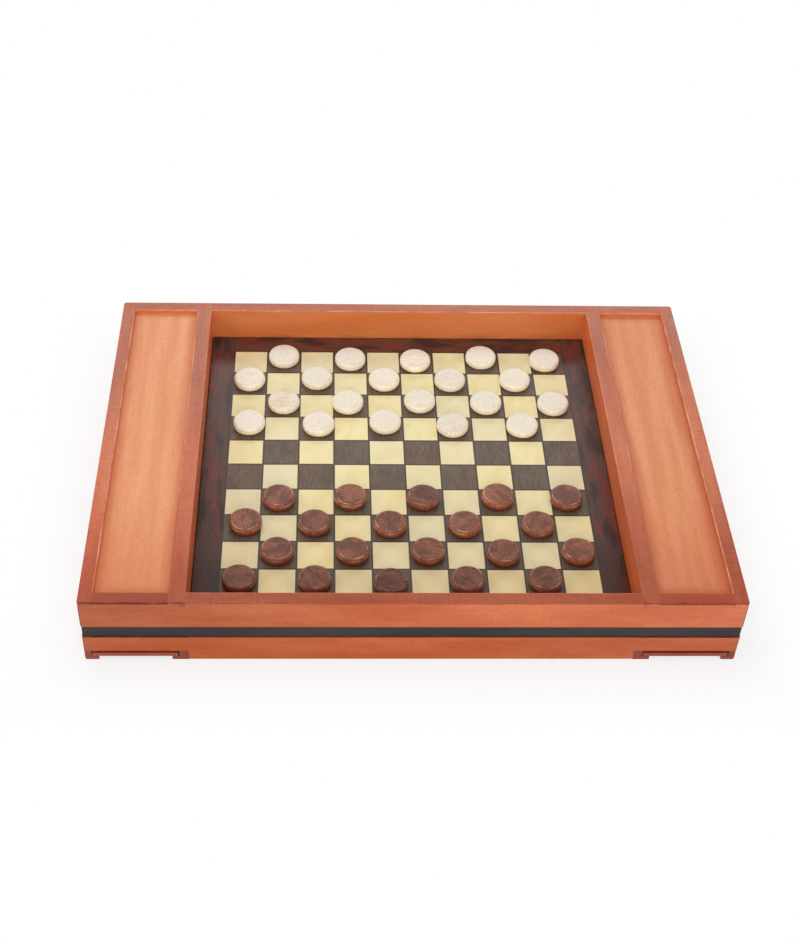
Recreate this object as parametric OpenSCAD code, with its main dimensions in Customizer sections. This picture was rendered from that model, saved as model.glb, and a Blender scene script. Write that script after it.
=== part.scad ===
// Games box: a wooden case with a draughts board in a square well, a shallow tray over a closed
// compartment on each side, and a lid that slides under each compartment.
// Millimetres. +X is right, +Y is back, +Z is up. The origin is the centre of the base.

/* [Board] */
// Side of one square of the board, with its share of the dark line
square = 27; // [26:0.5:32]
// Dark line between two light squares
line_w = 1.3; // [0.6:0.1:2.5]
// Plain border round the squares
border_w = 19; // [12:1:30]
// Thickness of the board
board_t = 5; // [3:0.5:6]
// Thickness of the inlaid veneers
veneer_t = 0.8; // [0.5:0.1:1.5]
// Gap between the board and each wall of the well
board_gap = 0.5; // [0.3:0.1:1.5]
// Depth of the board's top face below the top of the case
well_depth = 27.3; // [22:0.1:30]

/* [Men] */
// Diameter of a light man
light_man_d = 24.6; // [18:0.2:25.6]
// Diameter of a dark man
dark_man_d = 24; // [18:0.2:25.6]
// Thickness of a man
man_t = 7; // [5:0.5:10]
// Radius of the rounded edge of a light man
light_edge_r = 2; // [0.5:0.1:2.4]
// Radius of the rounded edge of a dark man
dark_edge_r = 1.9; // [0.5:0.1:2.4]

/* [Case] */
// Height of the case
case_h = 58; // [56:1:70]
// Thickness of the outer walls
wall_t = 10; // [8:0.5:14]
// Thickness of the dividers between the well and the trays
divider_t = 11.5; // [10:0.5:16]
// Clear width of a tray
tray_w = 50.5; // [40:0.5:90]
// Radius of the case's upright corners
corner_r = 2; // [0.5:0.5:5]
// Height of the wall and divider ends that run out over the front and back walls
tongue_h = 3; // [2:0.5:5]
// Height of the wall and divider ends that run out under the front wall
foot_h = 9.1; // [8.8:0.1:9.8]

/* [Band] */
// Height of the band's lower edge above the table
band_z = 23; // [18:1:28]
// Height of the band
band_h = 11; // [6:1:15]
// Depth of the groove that holds the band
band_groove = 2.5; // [1.5:0.1:3.5]
// Depth of the band's face below the face of the walls
band_recess = 0.8; // [0.3:0.1:1.2]

/* [Trays] */
// Depth of a tray
tray_depth = 3.3; // [3:0.1:8]
// Thickness of a tray's panel
tray_panel_t = 4; // [3:0.5:6]
// Depth of the grooves that hold a tray's panel
tray_groove = 4; // [2:0.5:5]
// Gap round the edge of a panel in its grooves
panel_gap = 0.4; // [0.2:0.1:1]
// Thickness of the strip let into the front wall over each tray
strip_t = 1; // [0.5:0.1:1.5]

/* [Base] */
// Height of the base panel's underside above the table
base_z = 10; // [9.8:0.1:12]
// Thickness of the base panel
base_t = 4; // [3:0.5:5]
// Depth of the grooves that hold the base panel
base_groove = 4; // [2:0.5:5]
// Width of the battens that carry the board
batten_w = 8; // [5:0.5:15]

/* [Lids] */
// Thickness of a sliding lid
lid_t = 3.3; // [2.5:0.1:4]
// Thickness of the lips that a lid slides on
lip_t = 3.3; // [2.5:0.1:3.6]
// Height of the grooves that a lid slides in
slot_h = 5.3; // [4.6:0.1:5.4]
// Depth of the grooves that a lid slides in
lid_groove = 5; // [3:0.5:6]
// Average gap between a lid's edge and the bottom of its groove
lid_side_gap = 0.6; // [0.4:0.1:1.5]
// How far the lids lie to the left of the middle of their grooves
lid_shift = 0.3; // [0:0.1:0.3]
// Gap behind a closed lid
lid_end_gap = 0.5; // [0.3:0.1:2]
// Radius of the thumb notch in a lid's underside
notch_r = 11; // [6:1:15]
// Slope of the floor of the thumb notch, in degrees
notch_slope = 7; // [4:1:8]
// Distance from a lid's front edge to the middle of its thumb notch
notch_inset = 18; // [16:1:40]

/* [Hidden] */
$fn = 96;
over = 1; // how far a cutter runs past the face that it cuts

// Ten squares a side and twenty men of each colour, five to a row
squares = 10;
men_per_row = squares / 2;
men = 4 * men_per_row;

// How far each man lies from the middle of its square, to the right and to the back.
// One list for each row, from the back row to the front.
light_shift = [
    [[0, 3], [0, 0], [-1, -1.5], [-1, 3], [-3, 0]],
    [[0, 1], [0, 3], [0, 1.5], [-1, 1.5], [-2.5, 2]],
    [[1, 0.5], [-2.5, 0.5], [0.5, 2.5], [-1, 1], [-1.5, 0]],
    [[1.5, 3], [1.5, 1.5], [-0.5, 4.5], [-2, 1], [-1.5, 1]]
];
dark_shift = [
    [[-0.5, 0.5], [-1.5, 1.5], [-1.5, 1], [0, 2.5], [-3, 1.5]],
    [[3, 2.5], [-1, 1.5], [0, 0.5], [0.5, 0.5], [0, 0.5]],
    [[-0.5, 0.5], [-0.5, 0.5], [-0.5, 0.5], [-0.5, -1], [-0.5, 0.5]],
    [[0.5, 0.5], [-0.5, 0], [-1, -2.5], [-1, -0.5], [0, 0]]
];
light_first_row = 0;
dark_first_row = 6;

field = squares * square;
light_side = square - line_w;
board_side = field + 2 * border_w;
well = board_side + 2 * board_gap;
tray_x = well / 2 + divider_t; // inner edge of a tray
tray_end_x = tray_x + tray_w; // outer edge of a tray
case_w = 2 * (tray_end_x + wall_t);
case_d = well + 2 * wall_t;

board_top = case_h - well_depth;
board_z = board_top - board_t;
base_top = base_z + base_t;
tray_top = case_h - tray_depth;
tray_z = tray_top - tray_panel_t;

lid_w = tray_w + 2 * lid_groove - 2 * lid_side_gap;
lid_l = wall_t + well - lid_end_gap;
lid_x = tray_x + tray_w / 2;

function numbered(prefix, count) =
    [for (i = [1:count]) str(prefix, i < 10 ? "_0" : "_", i)];
light_names = numbered("light_man", men);
dark_names = numbered("dark_man", men);

case_colour = "#B85C3C";
tray_colour = "#E0935F";
lid_colour = "#A8503A";
band_colour = "#38353A";
border_colour = "#4A2E2A";
dark_square_colour = "#5E534D";
light_square_colour = "#E6D39E";
light_man_colour = "#EBDCC4";
dark_man_colour = "#7A4334";

// ---- helpers ----

// A block from one corner to the opposite one
module block(low, high) {
    translate(low) cube(high - low);
}

// A rectangle with round corners, made of true arcs
module round_rectangle(w, d, r) {
    square([w - 2 * r, d], center = true);
    square([w, d - 2 * r], center = true);
    for (sx = [-1, 1], sy = [-1, 1])
        translate([sx * (w / 2 - r), sy * (d / 2 - r)]) circle(r);
}

// Everything inside the case's outline, less the groove that runs round it for the band
module case_outline() {
    difference() {
        linear_extrude(case_h) round_rectangle(case_w, case_d, corner_r);
        translate([0, 0, band_z]) linear_extrude(band_h) difference() {
            square([case_w + 2 * over, case_d + 2 * over], center = true);
            square([case_w - 2 * band_groove, case_d - 2 * band_groove], center = true);
        }
    }
}

// A copy on the right, and its mirror image on the left
module both_sides() {
    children();
    mirror([1, 0, 0]) children();
}

// ---- case ----

// The front wall, from its inner face outwards. The ends of the side walls and dividers run out
// over it on top and under it at the bottom, where the lids come out.
module front_wall() {
    color(case_colour) intersection() {
        case_outline();
        difference() {
            block([-case_w / 2, -case_d / 2, 0], [case_w / 2, -well / 2, case_h]);
            top_housings(-1);
            panel_grooves();
            both_sides() {
                block([well / 2, -case_d / 2 - over, -over], [case_w / 2 + over, -well / 2 + over, foot_h]);
                tray_strip();
            }
        }
    }
}

// The back wall closes the compartments, so only the tops of the other walls run out over it
module back_wall() {
    color(case_colour) intersection() {
        case_outline();
        difference() {
            block([-case_w / 2, well / 2, 0], [case_w / 2, case_d / 2, case_h]);
            top_housings(1);
            panel_grooves();
        }
    }
}

// Notches in the top of the front (-1) or back (1) wall for the tongues of the other walls
module top_housings(end) {
    both_sides() for (span = [[well / 2, tray_x], [tray_end_x, case_w / 2 + over]])
        translate([span[0], end > 0 ? well / 2 - over : -case_d / 2 - over, case_h - tongue_h])
            cube([span[1] - span[0], wall_t + 2 * over, tongue_h + over]);
}

// Grooves for the base panel and the tray panels, where they run into all four sides
module panel_grooves() {
    reach = well / 2 + base_groove;
    block([-reach, -reach, base_z], [reach, reach, base_top]);
    both_sides() block(
        [tray_x - tray_groove, -well / 2 - tray_groove, tray_z],
        [tray_end_x + tray_groove, well / 2 + tray_groove, tray_top]
    );
}

// Grooves for the lid, open at the front
module lid_grooves() {
    both_sides() block(
        [tray_x - lid_groove, -case_d / 2 - over, lip_t],
        [tray_end_x + lid_groove, well / 2, lip_t + slot_h]
    );
}

// A wall that runs from front to back between two distances from the middle: full height
// between the front and back walls, with a tongue over each and a foot under the front one
module long_wall(x_in, x_out) {
    intersection() {
        case_outline();
        difference() {
            union() {
                block([x_in, -well / 2, 0], [x_out, well / 2, case_h]);
                block([x_in, -case_d / 2, case_h - tongue_h], [x_out, case_d / 2, case_h]);
                block([x_in, -case_d / 2, 0], [x_out, 0, foot_h]);
            }
            panel_grooves();
            lid_grooves();
        }
    }
}

module right_wall() {
    color(case_colour) long_wall(tray_end_x, case_w / 2);
}

module left_wall() {
    color(case_colour) mirror([1, 0, 0]) long_wall(tray_end_x, case_w / 2);
}

module right_divider() {
    color(case_colour) long_wall(well / 2, tray_x);
}

module left_divider() {
    color(case_colour) mirror([1, 0, 0]) long_wall(well / 2, tray_x);
}

// ---- trays ----

module tray_panel() {
    reach = tray_groove - panel_gap;
    color(tray_colour) block(
        [tray_x - reach, -well / 2 - reach, tray_z],
        [tray_end_x + reach, well / 2 + reach, tray_top]
    );
}

module right_tray_panel() {
    tray_panel();
}

module left_tray_panel() {
    mirror([1, 0, 0]) tray_panel();
}

// The thin strip let into the top of the front wall over the right-hand tray
module tray_strip() {
    block([tray_x, -case_d / 2, case_h - strip_t], [tray_end_x, -well / 2, case_h]);
}

module tray_front_strips() {
    color(lid_colour) both_sides() tray_strip();
}

// ---- band ----

// A strip of the band along one side of the case, mitred at both ends
module band_strip(length, depth) {
    outer = length / 2 - band_recess;
    inner = length / 2 - band_groove;
    front = -depth / 2 + band_recess;
    back = -depth / 2 + band_groove;
    color(band_colour) translate([0, 0, band_z]) linear_extrude(band_h)
        polygon([[-outer, front], [outer, front], [inner, back], [-inner, back]]);
}

module front_band() {
    band_strip(case_w, case_d);
}

module back_band() {
    rotate([0, 0, 180]) band_strip(case_w, case_d);
}

module right_band() {
    rotate([0, 0, 90]) band_strip(case_d, case_w);
}

module left_band() {
    rotate([0, 0, -90]) band_strip(case_d, case_w);
}

// ---- base ----

module base_panel() {
    reach = well / 2 + base_groove - panel_gap;
    color(tray_colour) block([-reach, -reach, base_z], [reach, reach, base_top]);
}

// Four battens stand on the base panel round the well and carry the board. Those along the
// sides fit between the front and back ones.
module board_battens() {
    outer = well / 2;
    inner = outer - batten_w;
    color(tray_colour) for (turn = [0:90:270]) rotate([0, 0, turn]) {
        reach = turn % 180 == 0 ? outer : inner - panel_gap;
        block([-reach, -outer, base_top], [reach, -inner, board_z]);
    }
}

// ---- lids ----

// A flat lid with a sloping thumb notch in its underside, which is steep towards the front.
// side is 1 for the right-hand lid and -1 for the left-hand one.
module lid(side) {
    color(lid_colour) translate([side * lid_x - lid_shift, -case_d / 2, lip_t]) difference() {
        translate([-lid_w / 2, 0, 0]) cube([lid_w, lid_l, lid_t]);
        translate([0, notch_inset, 0]) rotate([-notch_slope, 0, 0])
            translate([0, 0, -2 * notch_r]) cylinder(h = 2 * notch_r, r = notch_r);
    }
}

module right_lid() {
    lid(1);
}

module left_lid() {
    lid(-1);
}

// ---- board ----

// The core with its border, and a bed for the veneers of the squares
module board_panel() {
    color(border_colour) difference() {
        block([-board_side / 2, -board_side / 2, board_z], [board_side / 2, board_side / 2, board_top]);
        block(
            [-field / 2, -field / 2, board_top - veneer_t],
            [field / 2, field / 2, board_top + over]
        );
    }
}

// The middle of a square, counted from the back left-hand corner of the board
function square_middle(row, column) = [
    (column - (squares - 1) / 2) * square,
    ((squares - 1) / 2 - row) * square
];

// The light squares, with the one in the back left-hand corner light
module light_veneers(extra) {
    for (row = [0:squares - 1], column = [row % 2:2:squares - 1])
        translate(square_middle(row, column)) translate([0, 0, board_top - veneer_t - extra])
            linear_extrude(veneer_t + 2 * extra) square(light_side, center = true);
}

// The dark squares and the dark lines are one sheet, pierced for the light squares
module dark_squares() {
    color(dark_square_colour) difference() {
        translate([0, 0, board_top - veneer_t]) linear_extrude(veneer_t) square(field, center = true);
        light_veneers(over);
    }
}

module light_squares() {
    color(light_square_colour) light_veneers(0);
}

// ---- men ----

// A turned disc with a rounded edge
module man(d, edge_r) {
    flat_r = d / 2 - edge_r;
    rotate_extrude() {
        square([flat_r, man_t]);
        translate([0, edge_r]) square([d / 2, man_t - 2 * edge_r]);
        for (z = [edge_r, man_t - edge_r]) translate([flat_r, z]) intersection() {
            circle(edge_r);
            translate([0, -edge_r]) square([edge_r, 2 * edge_r]);
        }
    }
}

// A man's place, counted along the rows of its own side. Men stand on dark squares only.
module place_man(i, first_row, shift) {
    own_row = floor(i / men_per_row);
    own_place = i % men_per_row;
    row = first_row + own_row;
    column = 2 * own_place + (row + 1) % 2;
    translate(square_middle(row, column)) translate(shift[own_row][own_place])
        translate([0, 0, board_top]) children();
}

module light_man(i) {
    color(light_man_colour) place_man(i, light_first_row, light_shift) man(light_man_d, light_edge_r);
}

module dark_man(i) {
    color(dark_man_colour) place_man(i, dark_first_row, dark_shift) man(dark_man_d, dark_edge_r);
}

front_wall();
back_wall();
left_wall();
right_wall();
left_divider();
right_divider();
left_tray_panel();
right_tray_panel();
tray_front_strips();
front_band();
back_band();
left_band();
right_band();
base_panel();
board_battens();
left_lid();
right_lid();
board_panel();
dark_squares();
light_squares();
for (i = [0:men - 1]) light_man(i);
for (i = [0:men - 1]) dark_man(i);
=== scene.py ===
# %% [markdown]
# # A games compendium box
# The real thing is a low wooden case. A draughts board lies at the bottom of a square well, with a
# shallow tray on each side, and under each tray is a compartment with a lid that slides out to the
# front. Forty turned men stand on the board.
#
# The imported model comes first, as a fixed frame: each of its nodes already stands where it belongs,
# in metres. So nothing here has to be fitted. Pieces whose edges matter are copied and given worn
# arrises, the men are turned again with finer edges, and every surface gets its wood.

# %% Load the fixed frame
import math
import random
import bmesh
import bpy
from mathutils import Matrix, Vector


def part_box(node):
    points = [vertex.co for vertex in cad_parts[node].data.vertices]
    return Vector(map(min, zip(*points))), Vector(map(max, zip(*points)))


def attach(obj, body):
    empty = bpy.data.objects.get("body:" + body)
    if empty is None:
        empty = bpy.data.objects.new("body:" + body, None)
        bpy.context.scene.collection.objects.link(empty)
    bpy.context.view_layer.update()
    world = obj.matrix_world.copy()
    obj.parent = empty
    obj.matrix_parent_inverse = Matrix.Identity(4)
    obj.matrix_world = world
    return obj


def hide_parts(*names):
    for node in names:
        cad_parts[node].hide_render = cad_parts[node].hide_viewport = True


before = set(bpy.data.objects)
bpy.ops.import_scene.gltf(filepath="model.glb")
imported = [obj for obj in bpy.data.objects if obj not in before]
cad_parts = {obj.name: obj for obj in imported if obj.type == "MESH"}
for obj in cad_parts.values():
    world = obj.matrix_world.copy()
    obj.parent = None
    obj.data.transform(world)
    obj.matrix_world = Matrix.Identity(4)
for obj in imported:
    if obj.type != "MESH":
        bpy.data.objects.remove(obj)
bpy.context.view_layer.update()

# %% Sizes read from the frame
MM = 1000.0  # millimetres in a metre

case_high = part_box("back_wall")[1]
case_top = case_high.z
well_half = -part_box("front_wall")[1].y
tray_in, tray_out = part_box("right_divider")[1].x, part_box("right_wall")[0].x
print(f"Top at {case_top * MM:.1f} mm, well {2 * well_half * MM:.1f} mm wide,",
      f"trays from {tray_in * MM:.1f} to {tray_out * MM:.1f} mm")

# %% [markdown]
# ## Two small tools for materials
# A colour picked from a picture is an sRGB value, and a shader's socket takes linear light, so every
# colour goes through one function. Nodes could be added by hand in the editor; in a script it is
# clearer to say in one line what a node is, what feeds it and how it is set.

# %% Colours, from sRGB hex to linear
def linear(colour):
    """An sRGB hex colour as the linear numbers that a socket takes."""
    parts = [int(colour[start:start + 2], 16) / 255 for start in (1, 3, 5)]
    return [c / 12.92 if c <= 0.04045 else ((c + 0.055) / 1.055) ** 2.4 for c in parts] + [1.0]

print("#C06038 is", [round(c, 3) for c in linear("#C06038")])

# %% Nodes, each with its links and its settings
def feed(tree, node, links):
    """Gives open sockets, by number or identifier, a value, a hex colour, a socket or a node."""
    open_sockets = [s for s in node.inputs if s.enabled]
    for key, value in links.items():
        socket = next(s for number, s in enumerate(open_sockets) if key in (number, s.identifier))
        if isinstance(value, bpy.types.Node):
            value = next(s for s in value.outputs if s.enabled)
        if isinstance(value, bpy.types.NodeSocket):
            tree.links.new(value, socket)
        else:
            socket.default_value = linear(value) if isinstance(value, str) else value


def add(tree, kind, *values, links=None, **settings):
    """Adds a node with its settings. values feed its open sockets in order, links by identifier."""
    node = tree.nodes.new("ShaderNode" + kind)
    for setting, value in settings.items():
        setattr(node, setting, value)
    feed(tree, node, {**dict(enumerate(values)), **(links or {})})
    return node


def new_finish(name):
    """A new material: the material, its tree and its shader."""
    material = bpy.data.materials.new(name)
    material.use_nodes = True
    return material, material.node_tree, material.node_tree.nodes["Principled BSDF"]

# %% [markdown]
# ## What wood looks like up close
# Wood is a solid, so its pattern is drawn in space and not on the skin: then a face that cuts
# across the fibres shows end grain by itself. Two places are used for the pattern. A node that
# stays as it is reads its Object coordinates. A copied piece has its own place in the plank, kept
# on its vertices under the name "grain", in millimetres and with x along the fibres, so that one
# material serves pieces that run in different directions.
#
# All the marks come from one idea: noise that is drawn out along the fibres. Real pores are a
# millimetre or two long and a tenth wide. Here the finest marks are nearly a millimetre wide, which
# is coarser than real, because a pixel of the picture covers about 0.7 mm and would lose them.

# %% Marks drawn out along the grain
def marks(tree, place, length, width, detail=2.0):
    """Noise with marks of about length by width, in millimetres, with the length along x."""
    scaled = add(tree, "VectorMath", place, (1 / length, 1 / width, 1 / width),
                 operation="MULTIPLY")
    return add(tree, "TexNoise", links={"Vector": scaled, "Scale": 1.0, "Detail": detail,
                                        "Roughness": 0.55})


def soft_steps(tree, *steps):
    """The product of soft steps, each a value, where it is low and high, and what it gives there.

    A step that names no results gives 0 at the low end and 1 at the high end.
    """
    product = None
    for value, low, high, *results in steps:
        at_low, at_high = results or (0.0, 1.0)
        step = add(tree, "MapRange", value, low, high, at_low, at_high,
                   interpolation_type="SMOOTHSTEP")
        product = step if product is None else add(tree, "Math", product, step,
                                                   operation="MULTIPLY")
    return product


def coats(tree, colour, *layers):
    """Coats of colour laid over a first one, each with its share from 0 to 1."""
    for share, coat in layers:
        colour = add(tree, "Mix", share, colour, coat, data_type="RGBA")
    return colour


def own_place(tree):
    """The place in a copied piece's own plank, in millimetres."""
    return add(tree, "Attribute", attribute_name="grain").outputs["Vector"]


def space_place(tree):
    """The place in space in millimetres, for a node that stays as it is."""
    return add(tree, "VectorMath", add(tree, "TexCoord").outputs["Object"], MM, operation="SCALE")


def swapped(tree, place):
    """The same place with x and y swapped, for fibres that run from front to back."""
    apart = add(tree, "SeparateXYZ", place)
    return add(tree, "CombineXYZ", apart.outputs["Y"], apart.outputs["X"], apart.outputs["Z"])

# %% [markdown]
# ## The case: stained hardwood under satin lacquer
# The case is a close-grained hardwood, wiped with a red-brown stain and sprayed with satin lacquer.
# The eye sees a fine straight grain and slow changes of tone where the stain took unevenly. End
# grain drinks more stain and is darker and redder. Inside the well and the trays the stain is thin
# and the wood more orange. Along the arrises, where sanding cut through, it is palest of all, but
# the front arris is hardly paler than the wood round it, and the dividers' arrises are pale only
# behind. So it is one recipe with a set of colours for each place. The kinds of wood named in this
# script are the ones that look most like the picture, and not known.
#
# The photograph also shows slow changes of tone: the tops are darkest at the front and at the back,
# the front face at its left end and below the band, and the tops at the front are redder. One
# picture can't tell whether wear, the stain or the studio's light made them. These are painted
# light and shade, put in the wood and fitted to the photograph, so they stay with the box when the
# light changes.

# %% How the tone changes over the case
SATIN = 0.28        # roughness of sprayed satin lacquer
WOOD_SHINE = 0.22   # specular level: open grain under a thin lacquer shines less than solid plastic
GRAIN_DEEP = 0.0001  # open pores are about a tenth of a millimetre deep, here in metres
WELL = well_half * MM
HAIR = 0.1          # half the width of a hard step from one piece to the next, in millimetres
LEVEL = (0.6, 0.9)  # how much a face looks up where it starts to count as level, and fully does
ZONE_SLANT = -0.12  # the darker zones of the tops run askew by this much
TOP_MM = case_top * MM


def painted_light_and_shade(tree, facing, spot):
    """Painted light and shade: how light, how rich in colour and how much redder each place is, as in
    the photograph.

    Every step below runs between two places in millimetres, or between two slopes of a face.
    """
    x, y, z = (spot.outputs[axis] for axis in "XYZ")
    from_middle = add(tree, "Math", x, operation="ABSOLUTE")
    slanted = add(tree, "Math", x, ZONE_SLANT, y, operation="MULTIPLY_ADD")
    on_front_wall = soft_steps(tree, (y, -WELL - HAIR, -WELL + HAIR, 1.0, 0.0),
                               (from_middle, WELL - HAIR, WELL + HAIR, 1.0, 0.0))
    front_wall_top = add(tree, "Mix", on_front_wall, 1.0, soft_steps(
        tree, (x, -90.0, 30.0, 0.92, 1.03)))
    tops = add(tree, "Math", front_wall_top, soft_steps(
        tree, (slanted, -165.0, -30.0, 0.7, 1.03), (slanted, 5.0, 90.0, 1.0, 0.76)),
        operation="MULTIPLY")
    sides = soft_steps(tree, (y, -20.0, 150.0, 1.0, 1.14))
    value = add(tree, "Mix", soft_steps(tree, (facing.outputs["Z"], *LEVEL)), sides, tops)

    above_band = soft_steps(tree, (z, 15.0, 40.0))
    front = add(tree, "Mix", above_band, soft_steps(tree, (x, -240.0, 0.0, 0.79, 0.87)),
                soft_steps(tree, (x, -240.0, 120.0, 0.74, 1.06)))
    under_edge = soft_steps(tree, (z, TOP_MM - 1.3, TOP_MM - 0.6, 1.0, 0.75))
    on_front = soft_steps(tree, (facing.outputs["Y"], -LEVEL[1], -LEVEL[0], 1.0, 0.0))
    value = add(tree, "Mix", on_front, value, add(tree, "Math", front, under_edge,
                                                  operation="MULTIPLY"))

    rich_front = add(tree, "Mix", above_band, soft_steps(tree, (x, 0.0, 160.0, 1.05, 1.02)),
                     soft_steps(tree, (x, 0.0, 200.0, 1.02, 0.99)))
    rich_top = soft_steps(tree, (y, -165.0, -40.0, 1.01, 0.975), (y, 20.0, 100.0, 1.0, 1.015),
                          (y, WELL - HAIR, WELL + HAIR, 1.0, 1.04))
    rich = add(tree, "Mix", on_front, rich_top, rich_front)
    redder = soft_steps(tree, (facing.outputs["Z"], *LEVEL), (y, -120.0, -30.0, 1.0, 0.0))
    return value, rich, redder

# %% Stained hardwood
RUB_FADE = 90.0      # rubbed wood goes over to unrubbed wood within this length, in millimetres
DIRT_WIDE = 1.5      # width of the dark line along the front edge, in millimetres
DIRT_WANDER = 3.0    # how far its edge wanders, which makes it ragged
DIRT = "#5E1E14"     # stain and dust gathered in the open end of a joint: nearly black-red
REDDENED = "#FFF0F8"  # a trace less green, for the tops near the front


def stained_hardwood(name, plain, deep, bright, roughness=SATIN, patch_mm=90, shade_and_dirt=False,
                     rubbed_behind=None):
    """Close-grained hardwood with a wiped stain: deep is the grain's colour, bright the thin spots.

    Wood marked for it gets the painted light and shade, and a ragged dark line of gathered stain
    along the front edge of the top, beyond the well. Wood that is only rubbed_behind a place, in
    millimetres, is deep before it.
    """
    material, tree, shader = new_finish(name)
    place = own_place(tree)
    facing = add(tree, "SeparateXYZ", add(tree, "NewGeometry").outputs["Normal"])
    spot = add(tree, "SeparateXYZ", space_place(tree))
    up, x, y = facing.outputs["Z"], spot.outputs["X"], spot.outputs["Y"]
    slow = soft_steps(tree, (marks(tree, place, patch_mm, 16), 0.3, 0.7))
    fibres = marks(tree, place, 14, 0.9, detail=3.0)
    streaks = soft_steps(tree, (fibres, 0.4, 0.7, 0.0, soft_steps(tree, (up, *LEVEL, 0.24, 0.35))))
    pores = soft_steps(tree, (marks(tree, place, 2.5, 0.8), 0.55, 0.72, 0.0, 0.5))
    ripples = soft_steps(tree, (marks(tree, place, 1.1, 9), 0.52, 0.68, 0.0, 0.4),
                         (up, *LEVEL, 0.2, 1.0))
    flecks = soft_steps(tree, (marks(tree, place, 1.6, 1.0), 0.58, 0.75, 0.0, 0.45))
    colour = coats(tree, plain, (slow, bright), (streaks, deep),
                   (add(tree, "Math", pores, ripples, operation="MAXIMUM"), deep), (flecks, bright))
    if rubbed_behind is not None:
        unrubbed = soft_steps(tree, (y, rubbed_behind, rubbed_behind + RUB_FADE, 0.9, 0.0))
        colour = coats(tree, colour, (unrubbed, deep))
    tone, rich = add(tree, "Attribute", attribute_name="tone").outputs["Fac"], 1.0
    # Painted light and shade over the case, and the dark line of gathered stain at its front edge
    if shade_and_dirt:
        value, rich, redder = painted_light_and_shade(tree, facing, spot)
        colour = add(tree, "Mix", redder, colour, REDDENED, data_type="RGBA",
                     blend_type="MULTIPLY")
        tone = add(tree, "Math", tone, value, operation="MULTIPLY")
        wander = add(tree, "Math", marks(tree, place, 7, 7, detail=4.0), DIRT_WANDER,
                     -DIRT_WANDER / 2, operation="MULTIPLY_ADD")
        ragged = add(tree, "Math", y, wander, operation="ADD")
        edge = -case_high.y * MM
        share = soft_steps(tree, (x, -100.0, 100.0, 0.95, 0.75))
        from_middle = add(tree, "Math", x, operation="ABSOLUTE")
        dirty = soft_steps(tree, (ragged, edge, edge + DIRT_WIDE, share, 0.0),
                           (from_middle, WELL - HAIR, WELL + HAIR), (up, 0.3, 0.6))
        colour = coats(tree, colour, (dirty, DIRT))
    feed(tree, shader, {
        "Base Color": add(tree, "HueSaturation", links={"Color": colour, "Saturation": rich,
                                                        "Value": tone}),
        "Roughness": soft_steps(tree, (fibres, 0.3, 0.7, roughness - 0.05, roughness + 0.06)),
        "Specular IOR Level": WOOD_SHINE,
        "Normal": add(tree, "Bump", links={"Height": fibres, "Strength": 0.25,
                                           "Distance": GRAIN_DEEP}),
    })
    return material


outer_wood = stained_hardwood("stained_hardwood", "#C0603A", "#9A4629", "#CE744C", shade_and_dirt=True)
inner_wood = stained_hardwood("stained_hardwood_thin_stain", "#DE7A41", "#C06033", "#E48A51")
side_wood = stained_hardwood("stained_hardwood_orange_side", "#DC6832", "#B84E24", "#E67A44",
                             shade_and_dirt=True)
arris_wood = stained_hardwood("stained_hardwood_rubbed_arris", "#CC7044", "#B4603C", "#EEA480",
                              roughness=0.5, patch_mm=16)
divider_arris_wood = stained_hardwood("stained_hardwood_half_rubbed_arris", "#D47850", "#A85838",
                                      "#F0AC88", roughness=0.5, patch_mm=16, rubbed_behind=-110.0)
edge_wood = stained_hardwood("stained_hardwood_front_arris", "#A85636", "#8E4028", "#D0704C",
                             roughness=0.5, patch_mm=16, shade_and_dirt=True)
end_wood = stained_hardwood("stained_hardwood_end_grain", "#823A2A", "#5C261C", "#8E4638",
                            roughness=0.5)
print("Case finishes:", [m.name for m in (outer_wood, inner_wood, side_wood, arris_wood,
                                          divider_arris_wood, edge_wood, end_wood)])

# %% [markdown]
# ## Joint lines
# Stain and dust gather in the hair lines round a joint, and more so along the strips over the
# trays, where the line is ragged. A dark material on the smallest of bevels draws them.

# %% Gathered stain in the joints
def joint_line():
    """Dark stain that breaks off here and there."""
    material, tree, shader = new_finish("gathered_stain")
    ragged = soft_steps(tree, (marks(tree, own_place(tree), 4, 3, detail=3.0), 0.35, 0.5))
    feed(tree, shader, {"Base Color": coats(tree, "#7E3020", (ragged, "#3C1008")),
                        "Roughness": 0.6, "Specular IOR Level": 0.08})
    return material


joint_wood = joint_line()
print("Joint lines:", joint_wood.name)

# %% [markdown]
# ## Copying a node and softening its edges
# A node's mesh is loose triangles and is never changed. A copy is merged, its flat faces are made
# whole, and then its edges can be bevelled. Only the arrises that a hand or a duster reaches are
# rounded: where two pieces are glued flush, a bevel would draw a groove that the real joint doesn't
# have.

# %% Copies, arrises and the grain's place
ALONG_X = Matrix.Identity(3)
ALONG_Y = Matrix.Rotation(-math.pi / 2, 3, "Z")
TINY = 1e-5  # a hundredth of a millimetre, for telling whether a point lies on a plane
CUT_APART = Vector((131.0, 57.0, 29.0))  # how far apart planks were cut from the log, in mm
SHARP, FLAT = math.radians(30), math.radians(0.3)  # an edge that can be rounded, and a false one
CASE_WOODS = [outer_wood, inner_wood, side_wood, arris_wood, divider_arris_wood, edge_wood,
              end_wood, joint_wood]
OUTER, INNER, SIDE, ARRIS, DIVIDER_ARRIS, EDGE, END, JOINT = range(8)  # slots, in that order


def clean_copy(node):
    """A merged copy of a node's mesh, with its flat faces whole."""
    mesh = bmesh.new()
    mesh.from_mesh(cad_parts[node].data)
    bmesh.ops.remove_doubles(mesh, verts=mesh.verts, dist=TINY / 10)
    bmesh.ops.dissolve_limit(mesh, angle_limit=FLAT, verts=mesh.verts, edges=mesh.edges)
    return mesh


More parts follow.
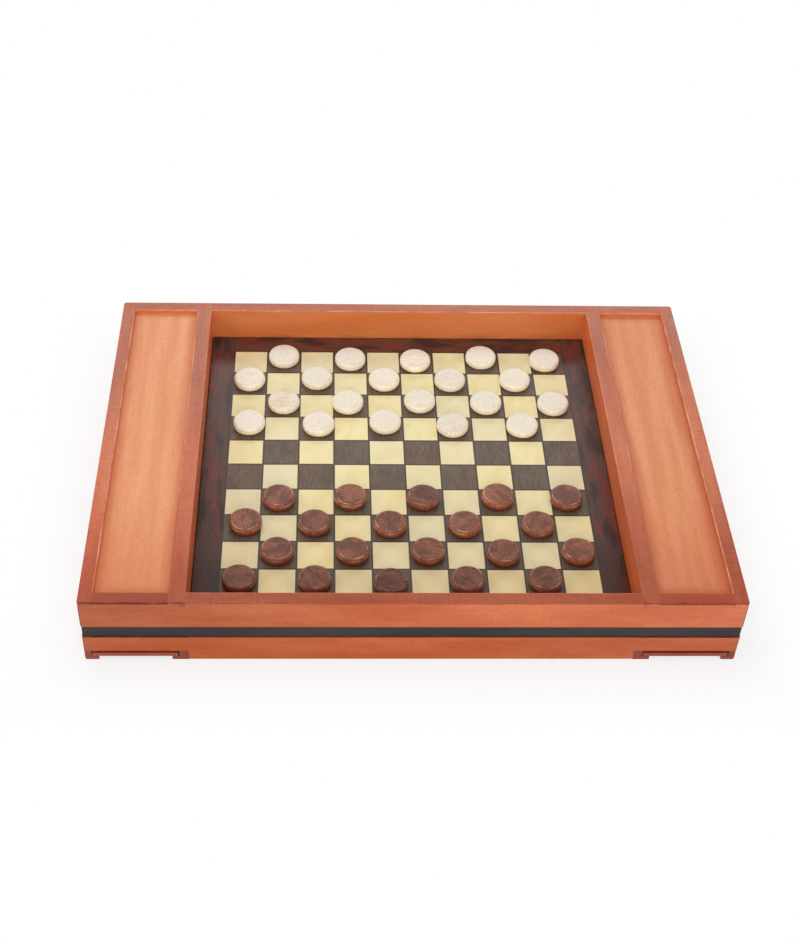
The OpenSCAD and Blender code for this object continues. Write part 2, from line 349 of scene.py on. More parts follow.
def round_over(mesh, wanted, radius, segments=2, slot=-1):
    """Rounds the sharp edges that wanted picks, and returns how many there were."""
    sharp = [e for e in mesh.edges if len(e.link_faces) == 2
             and e.calc_face_angle(0) > SHARP and wanted(e)]
    bmesh.ops.bevel(mesh, geom=sharp, offset=radius, affect="EDGES", segments=segments,
                    profile=0.5, material=slot, clamp_overlap=True)
    return len(sharp)


def lay_grain(mesh, turn, plank, tone=1.0, centre=Vector((0, 0, 0))):
    """Keeps each vertex's place in its plank, x along the fibres, and the plank's own tone."""
    grain = mesh.verts.layers.float_vector.new("grain")
    shade = mesh.verts.layers.float.new("tone")
    for vertex in mesh.verts:
        vertex[grain] = turn @ (vertex.co - centre) * MM + plank * CUT_APART
        vertex[shade] = tone


def finish_piece(mesh, name, materials, body, nodes, smooth_below=12):
    """Makes the bmesh an object that rides on its body and stands for its nodes."""
    data = bpy.data.meshes.new(name)
    mesh.to_mesh(data)
    mesh.free()
    for material in materials:
        data.materials.append(material)
    data.shade_smooth()
    data.set_sharp_from_angle(angle=math.radians(smooth_below))
    piece = bpy.data.objects.new(name, data)
    bpy.context.scene.collection.objects.link(piece)
    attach(piece, body)
    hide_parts(*nodes)
    return piece

# %% [markdown]
# ## Side walls and dividers
# Each of these four runs from front to back, over the ends of the front and back walls. Its top
# arrises are rubbed between those walls only, so the copy is first cut across at both of them, and
# the bevel stops there as a stopped chamfer does.

# %% Telling edges and faces apart
ARRIS_R = 0.0005   # rubbed arrises, in metres
EDGE_R = 0.0003    # outer edges of the top
TRAY_R = 0.0009    # arrises of the trays, which fingers rub most
JOINT_R = 0.0004   # hair line round a joint
INLAY_R = 0.0007   # wider line under the strips over the trays
TONGUE_R = 0.001   # short gaps beside the dividers' tongues
FOOT_R = 0.0027    # the feet's lower edges
CORNER_R = 0.0025  # how far in from the outline the case's round corners reach
LONG = 0.03        # an edge longer than this runs along its piece
UPPER = case_top - 0.005      # the tongues and strips lie above this height
TONGUE_EDGE = (0.001, 0.005)  # the tongues' upright edges are longer and shorter than these
FACING, TURNED = 0.9, 0.35    # how much a face looks along an axis if it faces that way, or partly


def middle(edge):
    """The edge's middle point."""
    return (edge.verts[0].co + edge.verts[1].co) / 2


def span(edge, axis):
    """How far the edge runs along an axis."""
    return abs(edge.verts[0].co[axis] - edge.verts[1].co[axis])


def at_height(edge, z):
    """Level, at that height."""
    return all(abs(v.co.z - z) < TINY for v in edge.verts)


def runs_along(edge, axis, z):
    """Level, at that height, and one of the long edges along an axis."""
    return at_height(edge, z) and span(edge, axis) > LONG


def on_outline(edge):
    """On the outside of the case, its round corners with it."""
    return (abs(middle(edge).x) > case_high.x - CORNER_R
            and abs(middle(edge).y) > case_high.y - CORNER_R
            or abs(middle(edge).x) > case_high.x - TINY or abs(middle(edge).y) > case_high.y - TINY)


def on_end(edge):
    """In the front or back plane of the case, below its top."""
    return (all(abs(abs(v.co.y) - case_high.y) < TINY for v in edge.verts)
            and not at_height(edge, case_top) and not at_height(edge, 0))


def stain(mesh, along):
    """Gives ends their end grain, and the faces that look into the well a thinner stain."""
    mesh.normal_update()
    for face in mesh.faces:
        spot = face.calc_center_median()
        if face.material_index != OUTER:
            continue
        at_end = abs(spot[along]) > case_high[along] - CORNER_R
        if abs(face.normal[along]) > TURNED and at_end and (along == 0 or spot.z < case_top / 2):
            face.material_index = END
        elif abs(face.normal[along]) > TURNED and at_end and spot.z > UPPER:
            face.material_index = EDGE
        elif abs(face.normal.y) > FACING and abs(abs(spot.y) - well_half) < TINY:
            face.material_index = INNER
        elif abs(face.normal.x) > FACING and abs(abs(spot.x) - well_half) < TINY:
            face.material_index = SIDE

# %% Side walls and dividers
for plank, (name, tone) in enumerate({"left_wall": 0.99, "left_divider": 0.91,
                                      "right_divider": 0.94, "right_wall": 0.96}.items(), 1):
    mesh = clean_copy(name)
    for side in (-1, 1):
        bmesh.ops.bisect_plane(mesh, geom=mesh.verts[:] + mesh.edges[:] + mesh.faces[:],
                               plane_co=(0, side * well_half, 0), plane_no=(0, 1, 0), dist=TINY)
    well_side = round_over(mesh, lambda e: runs_along(e, 1, case_top)
                           and abs(abs(middle(e).x) - well_half) < TINY, ARRIS_R, 2,
                           DIVIDER_ARRIS)
    tray_side = round_over(mesh, lambda e: runs_along(e, 1, case_top) and not on_outline(e)
                           and abs(middle(e).x) > well_half + ARRIS_R,
                           TRAY_R, 2, DIVIDER_ARRIS if "divider" in name else ARRIS)
    outside = round_over(mesh, lambda e: at_height(e, case_top) and on_outline(e), EDGE_R, 2,
                         OUTER)
    round_over(mesh, lambda e: runs_along(e, 1, 0), FOOT_R, 3, OUTER)
    tongue = round_over(mesh, lambda e: on_end(e) and middle(e).z > UPPER
                        and TONGUE_EDGE[0] < span(e, 2) < TONGUE_EDGE[1], TONGUE_R, 1, JOINT)
    joints = tongue + round_over(mesh, on_end, JOINT_R, 1, JOINT)
    stain(mesh, 1)
    lay_grain(mesh, ALONG_Y, plank, tone)
    finish_piece(mesh, name + "_stained", CASE_WOODS, "case", [name])
    print(f"{name}: {well_side} arrises at the well, {tray_side} at the tray,",
          f"{outside} outer edges, {joints} joint lines")

# %% [markdown]
# ## Front and back walls
# Their fibres run from left to right. The top arrises of the well are rubbed, and so are the outer
# edges at the top and at the bottom, which the box stands on.

# %% Front and back walls
strip_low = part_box("tray_front_strips")[0]
for plank, (name, tone) in enumerate({"front_wall": 0.94, "back_wall": 0.9}.items(), 5):
    mesh = clean_copy(name)
    rubbed = round_over(mesh, lambda e: runs_along(e, 0, case_top) and not on_outline(e),
                        ARRIS_R, 2, ARRIS)
    rubbed += round_over(mesh, lambda e: runs_along(e, 0, case_top) and on_outline(e),
                         EDGE_R, 2, EDGE)
    lower = round_over(mesh, lambda e: runs_along(e, 0, 0) and on_outline(e), ARRIS_R, 2, OUTER)
    notches = round_over(mesh, lambda e: on_end(e) and middle(e).z > UPPER
                         and not at_height(e, strip_low.z), JOINT_R, 1, JOINT)
    ragged = round_over(mesh, lambda e: runs_along(e, 0, strip_low.z) and on_outline(e),
                        INLAY_R, 1, JOINT)
    stain(mesh, 0)
    lay_grain(mesh, ALONG_X, plank, tone)
    finish_piece(mesh, name + "_stained", CASE_WOODS, "case", [name])
    print(f"{name}: {rubbed} top arrises, {lower} lower edges, {notches} joint lines,",
          f"{ragged} lines under the strips")

# %% [markdown]
# ## The strips over the trays, and the lids
# Each tray's front end has a thin strip let into the front wall. It is darker and redder, as the
# same hardwood is when the stain is laid on twice. The sliding lids have that finish too. Their
# front ends show as a dark line of end grain above the table.

# %% Strips and lids
STRIP_TONES = (0.88, 1.1)  # of the left one, which took more stain, and of the right one

strip_wood = stained_hardwood("stained_hardwood_double_stain", "#B65334", "#903C26", "#C46244",
                              shade_and_dirt=True)
lid_wood = stained_hardwood("stained_panel", "#924430", "#783224", "#9C503A", roughness=0.5)

mesh = clean_copy("tray_front_strips")
round_over(mesh, lambda e: runs_along(e, 0, case_top), JOINT_R, 1, -1)
round_over(mesh, lambda e: runs_along(e, 0, strip_low.z) and middle(e).y < strip_low.y + TINY,
           JOINT_R, 1, 1)
lay_grain(mesh, ALONG_X, 7)
shade = mesh.verts.layers.float["tone"]
for vertex in mesh.verts:
    vertex[shade] = STRIP_TONES[vertex.co.x > 0]
finish_piece(mesh, "tray_front_strips_stained", [strip_wood, joint_wood], "case",
             ["tray_front_strips"])

for plank, (side, tone) in enumerate({"left": 1.0, "right": 0.88}.items(), 8):
    mesh = clean_copy(side + "_lid")
    softened = round_over(mesh, lambda e: True, JOINT_R, 1, 1)
    lay_grain(mesh, ALONG_Y, plank, tone)
    finish_piece(mesh, side + "_lid_stained", [lid_wood, joint_wood], side + "_lid",
                 [side + "_lid"])
    print(f"{side} lid: {softened} edges softened")

# %% [markdown]
# ## The band
# A black strip lies in a groove round the case, a little below its face. It looks like an ebonised
# beech lath: a dull charcoal with a trace of grain and no gloss.

# %% Ebonised band
BAND_SUNK = 0.001  # the band's face lies less than this below the face of the case


def ebonised_lath():
    """Ebonised beech: dull charcoal, with faint long scratches of lighter wood."""
    material, tree, shader = new_finish("ebonised_beech")
    place = own_place(tree)
    fibres = marks(tree, place, 40, 1.2, detail=3.0)
    slow = soft_steps(tree, (marks(tree, place, 60, 6), 0.35, 0.65))
    scratches = soft_steps(tree, (fibres, 0.6, 0.8, 0.0, 0.5))
    feed(tree, shader, {
        "Base Color": coats(tree, "#352E2F", (slow, "#2A2627"), (scratches, "#4A4446")),
        "Roughness": 0.55, "Specular IOR Level": WOOD_SHINE,
        "Normal": add(tree, "Bump", links={"Height": fibres, "Strength": 0.2,
                                           "Distance": GRAIN_DEEP})})
    return material


band_wood = ebonised_lath()
for plank, (name, along) in enumerate({"front_band": ALONG_X, "back_band": ALONG_X,
                                       "left_band": ALONG_Y, "right_band": ALONG_Y}.items(), 10):
    mesh = clean_copy(name)
    softened = round_over(mesh, lambda e: max(span(e, 0), span(e, 1)) > LONG and (
        abs(middle(e).x) > case_high.x - BAND_SUNK or abs(middle(e).y) > case_high.y - BAND_SUNK),
        EDGE_R, 2, -1)
    lay_grain(mesh, along, plank)
    finish_piece(mesh, name + "_ebonised", [band_wood], "case", [name])
    print(f"{name}: {softened} edges softened")

# %% [markdown]
# ## Tray floors
# The tray floors are thin panels with a lighter, more orange stain on a fine straight grain. A soft
# darker margin of about a centimetre runs round each floor, partly stain that pools along the walls
# and partly painted shade of the walls, and the floor darkens towards the front as painted shade.

# %% Tray floors
BY_WALL, BY_DIVIDER, BY_END = 13, 9, 12  # width of the darker margin on each side, in mm
MARGIN_WANDER = 8.0                      # how far the margin's edge wanders, in millimetres


def tray_floor(name, middle_tone, deep, bright, pooled_stain_and_shade):
    """Veneered panel with a thin orange stain, darker in a margin along the walls, where stain pools
    and shade is painted, and with painted shade towards the front.
    """
    material, tree, shader = new_finish(name)
    along = swapped(tree, space_place(tree))
    apart = add(tree, "SeparateXYZ", along)
    back, right = apart.outputs["X"], apart.outputs["Y"]
    slow = soft_steps(tree, (marks(tree, along, 120, 9), 0.3, 0.7))
    fibres = marks(tree, along, 10, 0.9, detail=3.0)
    streaks = soft_steps(tree, (fibres, 0.45, 0.72, 0.0, 0.25))
    pores = soft_steps(tree, (marks(tree, along, 1.6, 1.0), 0.55, 0.72, 0.0, 0.3))
    ticks = soft_steps(tree, (marks(tree, along, 1.2, 5), 0.52, 0.7, 0.0, 0.32))
    # Painted shade: the floor darkens towards the front
    painted_front_shade = soft_steps(tree, (back, -150.0, -50.0, 0.44, 0.0))

    wander = add(tree, "Math", marks(tree, along, 30, 8), MARGIN_WANDER, -MARGIN_WANDER / 2,
                 operation="MULTIPLY_ADD")
    half = (tray_out - tray_in) / 2 * MM
    sideways = add(tree, "Math", add(tree, "Math", right, operation="ABSOLUTE"),
                   (tray_in + tray_out) / 2 * MM, operation="SUBTRACT")
    lengthways = add(tree, "Math", back, operation="ABSOLUTE")
    # A darker margin along the walls: stain that pools there, with painted shade of the walls
    by_wall = soft_steps(tree, (add(tree, "Math", sideways, wander, operation="ADD"),
                                half - BY_WALL, half, 0.0, 0.6))
    by_divider = soft_steps(tree, (add(tree, "Math", wander, sideways, operation="SUBTRACT"),
                                   half - BY_DIVIDER, half, 0.0, 0.5))
    by_end = soft_steps(tree, (add(tree, "Math", lengthways, wander, operation="ADD"),
                               WELL - BY_END, WELL, 0.0, 0.4))
    margin = add(tree, "Math", add(tree, "Math", by_wall, by_divider, operation="MAXIMUM"),
                 by_end, operation="MAXIMUM")
    feed(tree, shader, {
        "Base Color": coats(tree, middle_tone, (slow, bright), (streaks, deep),
                            (add(tree, "Math", pores, ticks, operation="MAXIMUM"), deep),
                            (painted_front_shade, pooled_stain_and_shade), (margin, pooled_stain_and_shade)),
        "Roughness": 0.45, "Specular IOR Level": WOOD_SHINE,
        "Normal": add(tree, "Bump", links={"Height": fibres, "Strength": 0.2,
                                           "Distance": GRAIN_DEEP})})
    return material


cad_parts["left_tray_panel"].data.materials[0] = tray_floor(
    "orange_stained_veneer_left", "#D98D62", "#C06C42", "#E29C70", "#C26438")
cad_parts["right_tray_panel"].data.materials[0] = tray_floor(
    "orange_stained_veneer_right", "#D48559", "#B8643C", "#DE946A", "#B85832")

# %% [markdown]
# ## The board's border
# Rosewood veneer: purplish brown with reddish clouds and nearly black patches. The strips at the
# sides run through from front to back, and those at the back and front lie between them, so the
# fibres turn a corner. A thin black line parts the border from the squares.

# %% Rosewood border
field_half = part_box("dark_squares")[1].x * MM
board_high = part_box("board_panel")[1]
BOARD_EDGE_R = 0.0004  # the board's own upper edges, in metres
LAYER_APART = 70       # a second pattern is read this far off the first, in millimetres


def rosewood(name):
    """Rosewood veneer with its fibres along each of the four strips."""
    material, tree, shader = new_finish(name)
    place = space_place(tree)
    y = add(tree, "SeparateXYZ", place).outputs["Y"]
    away = add(tree, "SeparateXYZ", add(tree, "VectorMath", place, operation="ABSOLUTE"))
    at_side = add(tree, "Math", away.outputs["X"], field_half, operation="GREATER_THAN")
    along = add(tree, "Mix", at_side, place, swapped(tree, place), data_type="VECTOR")
    elsewhere = add(tree, "VectorMath", along, (0, 0, LAYER_APART))
    red = soft_steps(tree, (marks(tree, along, 32, 13, detail=3.0), 0.48, 0.66, 0.0, 0.7))
    black = soft_steps(tree, (marks(tree, elsewhere, 40, 12, detail=3.0), 0.46, 0.64, 0.0, 0.8))
    # Painted shade: the border darkens towards the front, in the colour of its black patches
    shaded = soft_steps(tree, (y, -150.0, -40.0, 0.7, 0.0))
    fibres = soft_steps(tree, (marks(tree, along, 10, 1.0, detail=3.0), 0.4, 0.7, 0.0, 0.45))
    outward = add(tree, "Math", away.outputs["X"], away.outputs["Y"], operation="MAXIMUM")
    line = soft_steps(tree, (outward, field_half + 0.3, field_half + 0.9, 1.0, 0.0))
    feed(tree, shader, {
        "Base Color": coats(tree, "#6A4230", (at_side, "#5C4138"), (red, "#7C3630"),
                            (add(tree, "Math", black, shaded, operation="MAXIMUM"), "#2E2624"),
                            (fibres, "#3A2A26"), (line, "#3A3434")),
        "Roughness": SATIN, "Specular IOR Level": 0.15})
    return material


mesh = clean_copy("board_panel")
edges = round_over(mesh, lambda e: at_height(e, board_high.z) and max(
    abs(middle(e).x), abs(middle(e).y)) > board_high.x - TINY, BOARD_EDGE_R, 2, -1)
finish_piece(mesh, "board_panel_veneered", [rosewood("rosewood_veneer")], "board",
             ["board_panel"])
print("Border edges softened:", edges)

# %% [markdown]
# ## The squares
# Squares of veneer: pale ones, dyed a light straw yellow, and grey-brown smoked ones with fine
# streaks, with a thin black line round each. They are all cut from different places of a sheet, so
# each square has its own tone, its own place in the pattern and a slightly different direction.
# White Noise gives a number for each square that stays the same all over it.

# %% Squares of veneer
SQUARES_IN_ROW = 10
SQUARE = 2 * field_half / SQUARES_IN_ROW  # in millimetres, as are the next two
LINE = 1.3        # thin black line between squares
SHEET_WIDE = 300  # the sheet of veneer that the squares were cut from


def square_veneer(name, middle_tone, deep, bright, front_shade_colour, across, streaks, clouds, line=None):
    """Veneer cut in squares, each from its own place in the sheet, with painted shade that darkens it
    towards the front.
    """
    material, tree, shader = new_finish(name)
    spot = space_place(tree)
    y = add(tree, "SeparateXYZ", spot).outputs["Y"]
    counted = add(tree, "VectorMath", spot, (1 / SQUARE, 1 / SQUARE, 0),
                  (SQUARES_IN_ROW / 2, SQUARES_IN_ROW / 2, 0), operation="MULTIPLY_ADD")
    own = add(tree, "TexWhiteNoise", add(tree, "VectorMath", counted, operation="FLOOR"))
    own_stain = add(tree, "SeparateXYZ", own.outputs["Color"]).outputs["X"]
    part = add(tree, "VectorMath", add(tree, "VectorMath", counted, operation="FRACTION"),
               (0.5, 0.5, 0), operation="SUBTRACT")
    angle = soft_steps(tree, (own.outputs["Value"], 0.0, 1.0, math.radians(90 - across),
                              math.radians(90 + across)))
    turned = add(tree, "VectorRotate", links={
        "Vector": add(tree, "VectorMath", part, SQUARE, operation="SCALE"), "Angle": angle},
        rotation_type="Z_AXIS")
    place = add(tree, "VectorMath", own.outputs["Color"], (SHEET_WIDE,) * 3, turned,
                operation="MULTIPLY_ADD")
    slow = soft_steps(tree, (marks(tree, place, 24, 12), 0.35, 0.65))
    fibres = soft_steps(tree, (marks(tree, place, 7, 0.9, detail=3.0), 0.4, 0.7, 0.0, streaks))
    cloudy = soft_steps(tree, (marks(tree, place, 20, 12), 0.48, 0.7, 0.0, clouds))
    ticks = soft_steps(tree, (marks(tree, place, 0.9, 4), 0.5, 0.7, 0.0, 0.6 * streaks))
    # Painted shade: a darker coat over the squares towards the front
    painted_front_shade = soft_steps(tree, (y, -140.0, -20.0, 0.3, 0.0))
    colour = coats(tree, middle_tone, (slow, bright), (fibres, deep), (cloudy, deep),
                   (ticks, deep), (painted_front_shade, front_shade_colour))
    # Each square's own tone, and painted light that makes the squares lighter near the back wall
    tone = soft_steps(tree, (own.outputs["Value"], 0.0, 1.0, 0.95, 1.03),
                      (y, 100.0, 135.0, 1.0, 1.1))  # lighter near the back wall
    colour = add(tree, "HueSaturation", links={
        "Color": colour, "Value": tone,
        "Saturation": soft_steps(tree, (own_stain, 0.0, 1.0, 0.92, 1.1))})
    if line:
        away = add(tree, "SeparateXYZ", add(tree, "VectorMath", part, operation="ABSOLUTE"))
        outward = add(tree, "Math", away.outputs["X"], away.outputs["Y"], operation="MAXIMUM")
        lined = soft_steps(tree, (outward, 0.5 - 0.6 * LINE / SQUARE, 0.5 - 0.4 * LINE / SQUARE))
        colour = coats(tree, colour, (lined, line))
    feed(tree, shader, {"Base Color": colour, "Roughness": 0.42,
                        "Specular IOR Level": WOOD_SHINE})
    return material


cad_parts["dark_squares"].data.materials[0] = square_veneer(
    "smoked_walnut_veneer", "#625041", "#3E3129", "#6C5B4D", "#5E4A3E", 3, 0.55, 0.25,
    line="#443930")
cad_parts["light_squares"].data.materials[0] = square_veneer(
    "maple_veneer", "#E5D6A5", "#DAC286", "#E8DAAE", "#DEBE8A", 20, 0.1, 0.3)
print(f"Squares of {SQUARE:.1f} mm, {SQUARES_IN_ROW} to a row")

# %% [markdown]
# ## The men
# Draughtsmen are turned: sawn from a round stick, then their edges are rounded in the lathe. The
# light men are boxwood, and the dark men stained mahogany. Both have a full round edge, which on the
# dark ones is rubbed through to pale wood; on both, a pale line along the edge is also a painted
# highlight. One blank of each kind is drawn as a circle, pushed up to its height and bevelled, and
# copies of it are set down where the frame has the men. Each has its own direction of grain and its
# own tone, and its side darkens towards the board as painted shade.

# %% Turned blanks
ROUND_EDGE = {"light": 0.0021, "dark": 0.0019}  # radius of the turned edge, in metres
SIDES = 72           # of the circle: smooth at the size of a man
EDGE_STEPS = 5
FLAT_INSET = 0.0002  # a narrow ring inside each flat keeps its shading flat


def turned_blank(radius, thickness, edge_r):
    """A disc with rounded rims, standing on the origin."""
    mesh = bmesh.new()
    bmesh.ops.create_circle(mesh, cap_ends=True, radius=radius, segments=SIDES)
    top = bmesh.ops.extrude_face_region(mesh, geom=mesh.faces[:])
    bmesh.ops.translate(mesh, verts=[v for v in top["geom"] if isinstance(v, bmesh.types.BMVert)],
                        vec=(0, 0, thickness))
    bmesh.ops.recalc_face_normals(mesh, faces=mesh.faces)
    rims = [e for e in mesh.edges if span(e, 2) < TINY]
    bmesh.ops.bevel(mesh, geom=rims, offset=edge_r, affect="EDGES", segments=EDGE_STEPS,
                    profile=0.5, material=-1)
    flats = [f for f in mesh.faces if len(f.verts) > 4]
    bmesh.ops.inset_individual(mesh, faces=flats, thickness=FLAT_INSET)
    return mesh

# %% The men's wood
board_top = board_high.z * MM


def man_wood(name, colours, grain_share, speckle_share, rim_wear_and_highlight):
    """Sawn top, upright fibres round the side, and two edges of the rim, worn pale in places and
    carrying a painted highlight.

    colours holds those of top, patch, grain, blush, side, painted shade low on the side, and rim.
    """
    material, tree, shader = new_finish(name)
    place = own_place(tree)
    apart = add(tree, "SeparateXYZ", place)
    upright = add(tree, "CombineXYZ", apart.outputs["Z"], apart.outputs["X"], apart.outputs["Y"])
    up = add(tree, "SeparateXYZ", add(tree, "NewGeometry").outputs["Normal"]).outputs["Z"]
    height = add(tree, "SeparateXYZ", space_place(tree)).outputs["Z"]
    figure, blush, tone = (add(tree, "Attribute", attribute_name=kept).outputs["Fac"]
                           for kept in ("figure", "blush", "tone"))

    fibres = marks(tree, place, 9, 1.0, detail=3.0)
    patches = soft_steps(tree, (marks(tree, place, 18, 9), 0.38, 0.62))
    figured = add(tree, "Math", soft_steps(tree, (fibres, 0.46, 0.68, 0.0, grain_share)), figure,
                  operation="MULTIPLY")
    speckle = soft_steps(tree, (marks(tree, place, 1.8, 1.1, detail=3.0), 0.48, 0.64, 0.0,
                                speckle_share))
    blushed = add(tree, "Math", blush, soft_steps(
        tree, (marks(tree, place, 16, 9), 0.42, 0.6),
        (marks(tree, place, 7, 1.6, detail=3.0), 0.4, 0.6, 0.45, 1.0)), operation="MULTIPLY")
    top = coats(tree, colours["top"], (patches, colours["patch"]), (figured, colours["grain"]),
                (speckle, colours["grain"]), (blushed, colours["blush"]))

    side_grain = soft_steps(tree, (marks(tree, upright, 8, 1.5, detail=3.0), 0.42, 0.7, 0.0,
                                   grain_share))
    # Painted shade: the side darkens towards the board that the man stands on
    shade_near_board = soft_steps(tree, (height, board_top + 0.5, board_top + 4.5, 0.9, 0.0))
    side = coats(tree, colours["side"], (side_grain, colours["grain"]),
                 (shade_near_board, colours["foot"]))

    # A pale line at each of the rim's two edges, broken in places: worn wood with a painted highlight
    upper = soft_steps(tree, (up, 0.86, 0.93), (up, 0.975, 0.995, 1.0, 0.0))
    lower = soft_steps(tree, (up, 0.02, 0.1), (up, 0.25, 0.45, 0.8, 0.0))
    scratch = soft_steps(tree, (marks(tree, place, 9, 6, detail=4.0), 0.42, 0.66, 0.0, rim_wear_and_highlight))
    rubbed = add(tree, "Math", add(tree, "Math", upper, lower, operation="MAXIMUM"), scratch,
                 operation="MULTIPLY")
    colour = coats(tree, side, (soft_steps(tree, (up, 0.5, 0.9)), top), (rubbed, colours["rim"]))
    feed(tree, shader, {
        "Base Color": add(tree, "HueSaturation", links={"Color": colour, "Value": tone}),
        "Roughness": SATIN, "Specular IOR Level": WOOD_SHINE,
        "Normal": add(tree, "Bump", links={"Height": fibres, "Strength": 0.15,
                                           "Distance": GRAIN_DEEP})})
    return material


boxwood = man_wood("polished_boxwood", {
    "top": "#E2D8C7", "patch": "#E6DAC7", "grain": "#CDBA9C", "blush": "#D4AE8E",
    "side": "#F6EAD2", "foot": "#E4CC9C", "rim": "#F6EEE0"}, 0.45, 0.3, 0.5)
mahogany = man_wood("stained_mahogany", {
    "top": "#905842", "patch": "#6C4234", "grain": "#42261C", "blush": "#88523F",
    "side": "#935034", "foot": "#562A1C", "rim": "#C89474"}, 0.55, 0.5, 1.0)

# %% Forty men
BLUSHED = {3: 0.45, 11: 0.6, 19: 0.3}  # light men that are pinker in the photograph
# Painted shade: the dark men by the front wall, darkened by the factor below for the wall's shade
FRONT_ROW = range(16, 21)  # the dark men by the front wall, which are darker in the photograph
FRONT_WALL_SHADE = 0.86
# Dark men that are darker or lighter than their row in the photograph
OWN_TONE = {3: 0.82, 4: 1.22, 6: 1.13, 7: 0.8, 14: 0.87, 15: 1.18, 18: 0.85}
drawn = random.Random(4)  # seeded, so each run sets the same men
for kind, wood in (("light", boxwood), ("dark", mahogany)):
    low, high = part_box(kind + "_man_01")
    blank = turned_blank((high.x - low.x) / 2, high.z - low.z, ROUND_EDGE[kind])
    for number in range(1, 21):
        name = f"{kind}_man_{number:02d}"
        low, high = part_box(name)
        centre = Vector(((low.x + high.x) / 2, (low.y + high.y) / 2, low.z))
        mesh = blank.copy()
        bmesh.ops.translate(mesh, verts=mesh.verts, vec=centre)
        tone, pinkness = 1.0, BLUSHED.get(number, 0.0)
        if kind == "dark":
            tone = OWN_TONE.get(number, 1.0) * (FRONT_WALL_SHADE if number in FRONT_ROW else 1.0)
            pinkness = 0.0
        lay_grain(mesh, Matrix.Rotation(drawn.uniform(0, math.tau), 3, "Z"), number,
                  tone * drawn.uniform(0.94, 1.06), centre)
        blush, figure = (mesh.verts.layers.float.new(kept) for kept in ("blush", "figure"))
        own_figure = drawn.uniform(0.4, 1.6)  # how clearly its grain shows
        for vertex in mesh.verts:
            vertex[blush], vertex[figure] = pinkness, own_figure
        finish_piece(mesh, name + "_turned", [wood], name, [name],
                     smooth_below=35)
    blank.free()
    print(f"20 {kind} men, {(high.x - low.x) * MM:.1f} by {(high.z - low.z) * MM:.1f} mm")

# %% [markdown]
# ## What lies underneath
# The base panel is thin poplar plywood with bare battens on it that carry the board. They show
# from below, and when the board is lifted out.

# %% Plywood and battens
def bare_wood(name, middle_tone, deep):
    """Bare pale wood: matt, with soft streaks."""
    material, tree, shader = new_finish(name)
    place = space_place(tree)
    slow = soft_steps(tree, (marks(tree, place, 90, 14), 0.35, 0.65, 0.0, 0.5))
    streaks = soft_steps(tree, (marks(tree, place, 30, 1.2, detail=3.0), 0.4, 0.7, 0.0, 0.5))
    feed(tree, shader, {"Base Color": coats(tree, middle_tone, (slow, deep), (streaks, deep)),
                        "Roughness": 0.65, "Specular IOR Level": WOOD_SHINE})
    return material


plywood = bare_wood("poplar_plywood", "#D9B184", "#C2935F")
for name in ("base_panel", "board_battens"):
    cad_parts[name].data.materials[0] = plywood

# %% [markdown]
# ## Floor, light and camera
# A plain pale floor and a white world stand for the studio. The camera, gloss and glass see pure
# white there, and the light itself doesn't change with it: Light Path tells the two apart. A share
# of the floor's own shading is left in, so the box keeps its soft shadow.

# %% Floor and world
PALE, WHITE = "#F4F2F0", "#FFFFFF"
FLOOR_HALF = 4.0     # half the floor's width in metres
NEAR_GLOW = 0.72     # share of plain white that the camera sees on the floor at the box
SHADE_MM = 70.0      # further away than this from the box, the floor is seen plain white
SKY_STRENGTH = 0.37  # light from all round, out of 1 for plain white


def seen_directly(tree, share):
    """share for the camera, gloss and glass, and 0 for the light that falls on things."""
    path = add(tree, "LightPath")
    seen = add(tree, "Math", path.outputs["Is Camera Ray"], path.outputs["Is Glossy Ray"],
               operation="MAXIMUM")
    seen = add(tree, "Math", seen, path.outputs["Is Transmission Ray"], operation="MAXIMUM")
    return add(tree, "Math", seen, share, operation="MULTIPLY")


mesh = bmesh.new()
bmesh.ops.create_grid(mesh, x_segments=1, y_segments=1, size=FLOOR_HALF)
data = bpy.data.meshes.new("floor")
mesh.to_mesh(data)
mesh.free()
floor = bpy.data.objects.new("floor", data)
bpy.context.scene.collection.objects.link(floor)
material, tree, shader = new_finish("pale_floor")
feed(tree, shader, {"Base Color": PALE, "Roughness": 0.9})
white = add(tree, "Emission", WHITE, 1.0)
from_middle = add(tree, "VectorMath", space_place(tree), operation="ABSOLUTE")
past = add(tree, "SeparateXYZ", add(tree, "VectorMath", from_middle, case_high * MM,
                                    operation="SUBTRACT"))
away = add(tree, "Math", past.outputs["X"], past.outputs["Y"], operation="MAXIMUM")
glow = seen_directly(tree, soft_steps(tree, (away, 0.0, SHADE_MM, NEAR_GLOW, 1.0)))
feed(tree, tree.nodes["Material Output"], {
    "Surface": add(tree, "MixShader", glow, shader.outputs["BSDF"], white)})
data.materials.append(material)

world = bpy.data.worlds.new("studio")
bpy.context.scene.world = world
world.use_nodes = True
tree = world.node_tree
feed(tree, tree.nodes["Background"], {
    "Color": WHITE, "Strength": add(tree, "Math", seen_directly(tree, 1.0), SKY_STRENGTH,
                                    operation="MAXIMUM")})
print(f"Sky at {SKY_STRENGTH} of plain white, floor's shade out to {SHADE_MM:.0f} mm")

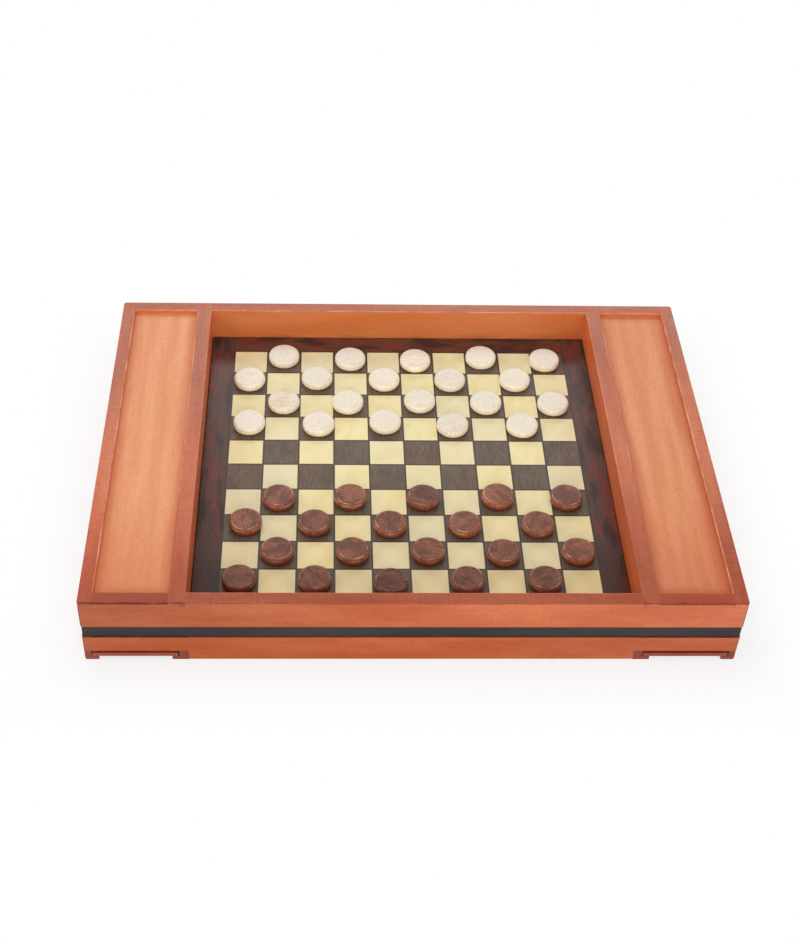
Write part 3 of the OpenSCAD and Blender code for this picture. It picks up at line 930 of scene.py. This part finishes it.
# %% Softboxes
def softbox(name, place, width, height, watts):
    """A lamp with a rectangular face that looks at the box, as a studio softbox does."""
    lamp = bpy.data.lights.new(name, "AREA")
    lamp.shape = "RECTANGLE"
    lamp.size, lamp.size_y = width, height
    lamp.energy = watts
    holder = bpy.data.objects.new(name, lamp)
    holder.location = place
    holder.rotation_euler = (-Vector(place)).to_track_quat("-Z", "Y").to_euler()
    holder.visible_camera = False
    bpy.context.scene.collection.objects.link(holder)
    print(f"{name}: {width} by {height} m, {watts} W")


softbox("front_softbox", (0.1, -1.9, 0.75), 2.0, 0.9, 22.5)
softbox("back_softbox", (-0.1, 1.6, 1.12), 2.2, 0.45, 11.5)
softbox("top_softbox", (-0.15, 0.1, 0.95), 0.7, 0.7, 2.2)
softbox("left_softbox", (-1.6, -0.4, 1.0), 0.9, 0.7, 8.5)
softbox("right_softbox", (1.6, -0.4, 1.0), 0.9, 0.7, 5)

# %% [markdown]
# The camera stands where the photograph was taken. The picture is 800 by 944 pixels, and its
# optical axis isn't quite in the middle, which a small shift of the lens gives.

# %% Camera
FRAME_W, FRAME_H = 800, 944
FOCAL_PX = 1526.8
AXIS_PX = (370.6, 448.5)
SENSOR_MM = 36.0
CAMERA_AT = (-0.06295, -0.8440, 0.82921)  # in metres from the box's middle on the table
CAMERA_RIGHT = Vector((0.99949, -0.02013, 0.02473))
CAMERA_UP = Vector((-0.00446, 0.67966, 0.73351))

lens = bpy.data.cameras.new("camera")
lens.sensor_width = SENSOR_MM
lens.lens = FOCAL_PX / FRAME_H * SENSOR_MM
lens.shift_x = (FRAME_W / 2 - AXIS_PX[0]) / FRAME_H
lens.shift_y = (AXIS_PX[1] - FRAME_H / 2) / FRAME_H
lens.clip_end = 20.0
camera = bpy.data.objects.new("camera", lens)
turn = Matrix((CAMERA_RIGHT, CAMERA_UP, CAMERA_RIGHT.cross(CAMERA_UP))).transposed().to_4x4()
camera.matrix_world = Matrix.Translation(CAMERA_AT) @ turn
bpy.context.scene.collection.objects.link(camera)
bpy.context.scene.camera = camera
bpy.context.scene.view_settings.view_transform = "Standard"
print(f"Lens {lens.lens:.1f} mm, shift {lens.shift_x:.4f}, {lens.shift_y:.4f}")
